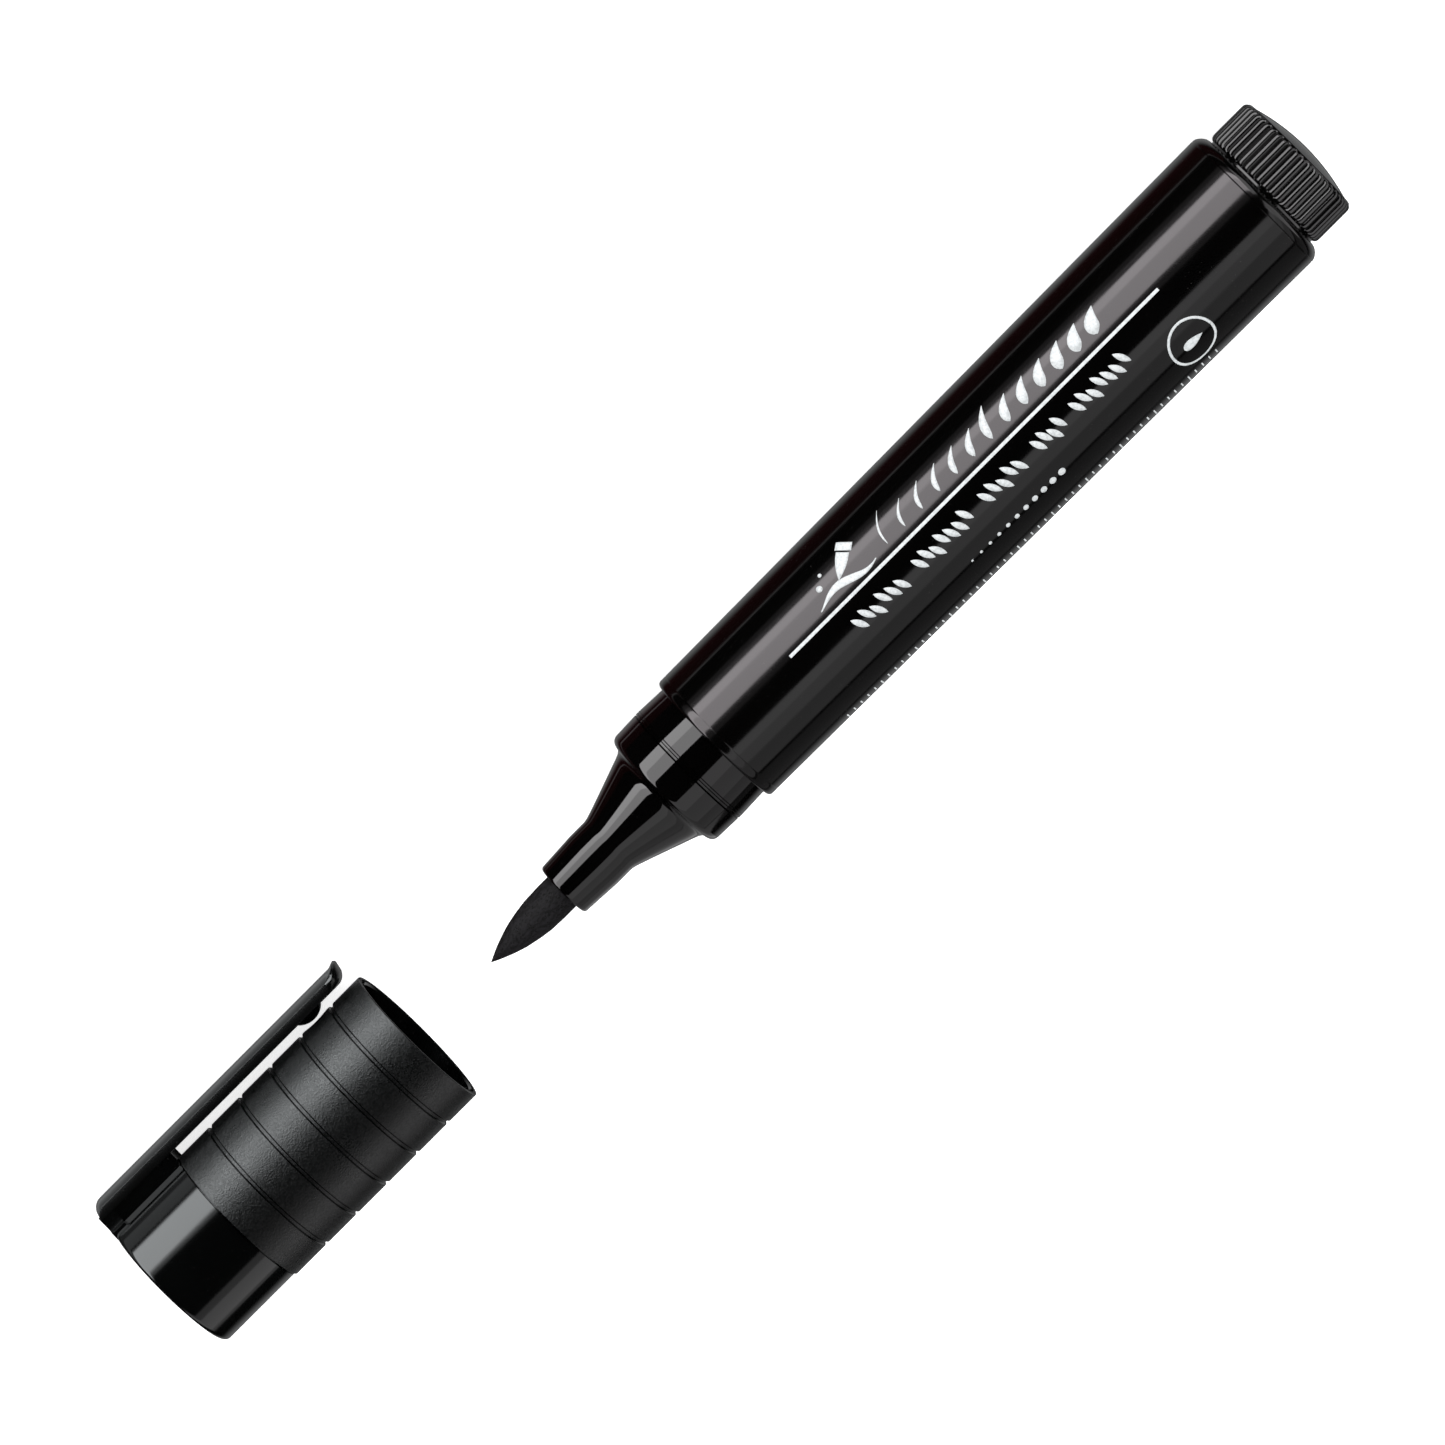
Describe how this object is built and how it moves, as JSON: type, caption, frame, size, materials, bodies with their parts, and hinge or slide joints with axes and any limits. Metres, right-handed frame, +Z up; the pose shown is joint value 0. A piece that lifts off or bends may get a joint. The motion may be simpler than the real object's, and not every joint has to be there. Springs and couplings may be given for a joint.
{
  "type": "brush pen",
  "caption": "Round felt brush pen with a glossy tapered barrel, a ribbed tail plug and a pull-off cap with a grooved satin sleeve and a sprung pocket clip.",
  "frame": {"origin": "on the surface that the pen lies on, under the middle of the outline of pen and cap, with the cap pulled off", "axes": "+X along the pen from the tail plug to the nib and on to the cap's closed end, +Z up from the surface; the clip points to -Y and down, and its lower corner rests on the surface"},
  "size_m": [0.1686, 0.0196, 0.0177],
  "materials": {
    "barrel_gloss": "polished black moulding with white print",
    "front_gloss": "polished black moulding",
    "nib_felt": "porous black felt",
    "core_fibre": "ink-soaked fibre",
    "clear_film": "thin film",
    "plug_satin": "semi-gloss black, finely ribbed",
    "cap_gloss": "polished black moulding",
    "sleeve_satin": "fine satin texture, dark grey",
    "liner": "soft black",
    "clip_satin": "satin-gloss black moulding"
  },
  "bodies": {
    "pen": {"barrel": "barrel_gloss", "front_section": "front_gloss", "nib": "nib_felt", "ink_core": "core_fibre", "core_film": "clear_film", "tail_plug": "plug_satin"},
    "cap": {"cap_body": "cap_gloss", "cap_sleeve": "sleeve_satin", "inner_cap": "liner"},
    "clip": {"clip_arm": "clip_satin"}
  },
  "joints": [
    {"name": "cap_slide", "type": "slide", "parent": "pen", "child": "cap", "axis": [-1, 0, 0], "range_m": [0, 0.0439]},
    {"name": "clip_flex", "type": "hinge", "parent": "cap", "child": "clip", "pos_m": [0.074, -0.00861, 0.00219], "axis": [0, -0.573, 0.8196], "range_deg": [0, 4.5], "stiffness_Nm_per_rad": 0.4}
  ]
}
